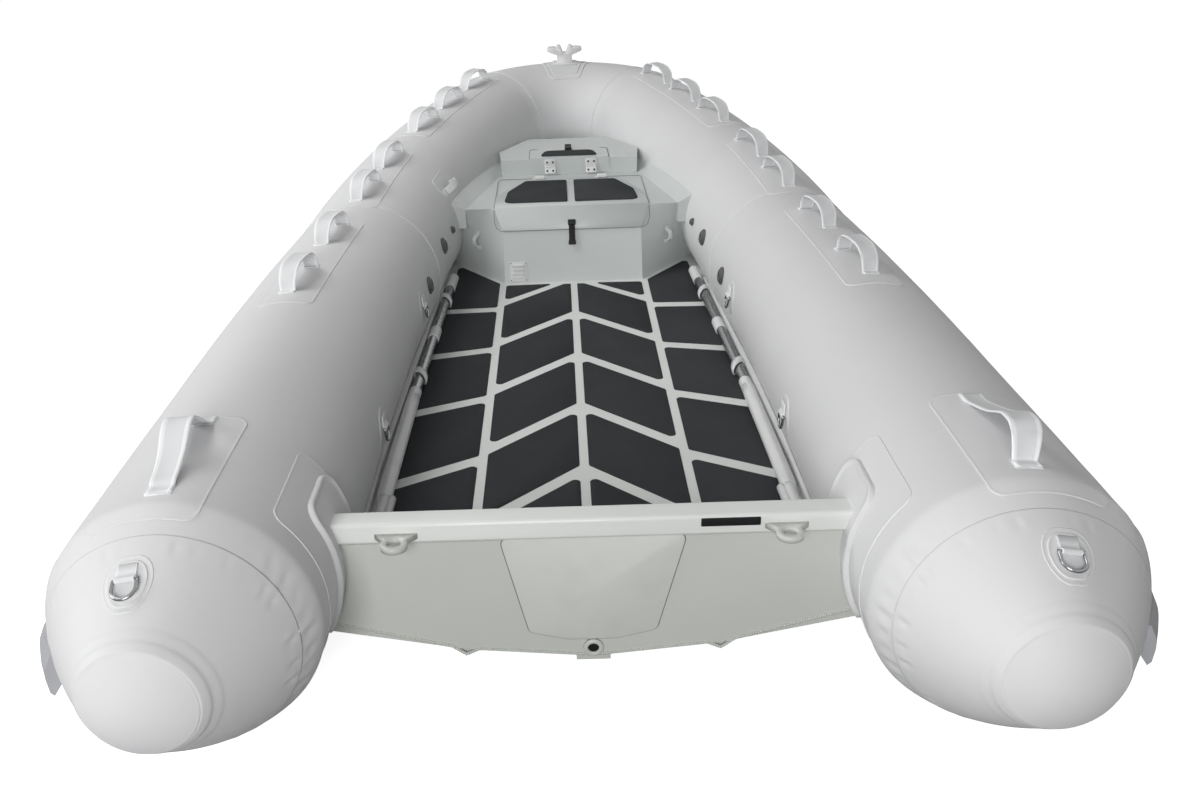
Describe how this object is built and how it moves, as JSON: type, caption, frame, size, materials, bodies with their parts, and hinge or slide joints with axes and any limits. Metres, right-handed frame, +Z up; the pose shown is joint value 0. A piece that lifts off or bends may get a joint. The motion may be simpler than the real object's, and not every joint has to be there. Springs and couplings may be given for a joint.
{
  "type": "rigid inflatable boat",
  "caption": "Open rigid inflatable boat with round side tubes joined at the bow, a welded vee hull, two lidded lockers, grab handles and stowed oars.",
  "frame": {"origin": "on the floor under the middle of the boat's length and width", "axes": "+X to starboard, +Y to the bow, +Z up"},
  "size_m": [1.744, 3.8146, 0.641],
  "materials": {
    "tube_fabric": "satin",
    "grey_rubber": "matte",
    "painted_aluminium": "satin",
    "foam_pad": "matte",
    "light_plastic": "satin",
    "dark_rubber": "satin",
    "webbing": "matte",
    "bright_metal": "polished"
  },
  "bodies": {
    "boat": {"tube_main_port": "tube_fabric", "tube_main_starboard": "tube_fabric", "bow_center": "tube_fabric", "bow_quarter_starboard": "tube_fabric", "bow_quarter_port": "tube_fabric", "tube_end_starboard": "tube_fabric", "tube_end_port": "tube_fabric", "rub_strake_starboard": "grey_rubber", "rub_strake_port": "grey_rubber", "rub_strake_bow": "grey_rubber", "hull_bottom": "painted_aluminium", "keel_strip": "painted_aluminium", "transom_plate": "painted_aluminium", "drain_boss": "painted_aluminium", "transom_beam": "painted_aluminium", "motor_pad": "light_plastic", "towing_eye_starboard": "painted_aluminium", "towing_eye_port": "painted_aluminium", "deck_floor": "painted_aluminium", "deck_pads": "foam_pad", "fuel_locker": "painted_aluminium", "fuel_hinges": "painted_aluminium", "anchor_locker": "painted_aluminium", "anchor_hinges": "painted_aluminium", "grab_handles_mid_starboard": "webbing", "grab_handles_mid_port": "webbing", "grab_handles_fore_starboard": "webbing", "grab_handles_fore_port": "webbing", "grab_handles_bow_starboard": "webbing", "grab_handles_bow_port": "webbing", "stern_handles": "webbing", "stern_rings": "bright_metal", "inner_rings": "bright_metal", "air_valves": "dark_rubber", "carry_handle": "light_plastic", "side_rails": "light_plastic", "oar_starboard": "bright_metal", "oar_port": "bright_metal", "oar_holders": "light_plastic", "tie_loops": "webbing", "vent_grille": "light_plastic", "bow_cleat": "light_plastic"},
    "fuel_locker_lid": {"fuel_lid": "painted_aluminium", "fuel_lid_pads": "foam_pad", "fuel_latch": "dark_rubber"},
    "anchor_locker_lid": {"anchor_lid": "painted_aluminium", "anchor_lid_pad": "foam_pad", "anchor_latch": "dark_rubber"}
  },
  "joints": [
    {"name": "fuel_lid_hinge", "type": "hinge", "parent": "boat", "child": "fuel_locker_lid", "pos_m": [0, 0.76068, 0.3204], "axis": [-1, 0, 0], "range_deg": [0, 80]},
    {"name": "anchor_lid_hinge", "type": "hinge", "parent": "boat", "child": "anchor_locker_lid", "pos_m": [0, 0.81528, 0.337], "axis": [1, 0, 0], "range_deg": [0, 90]}
  ]
}
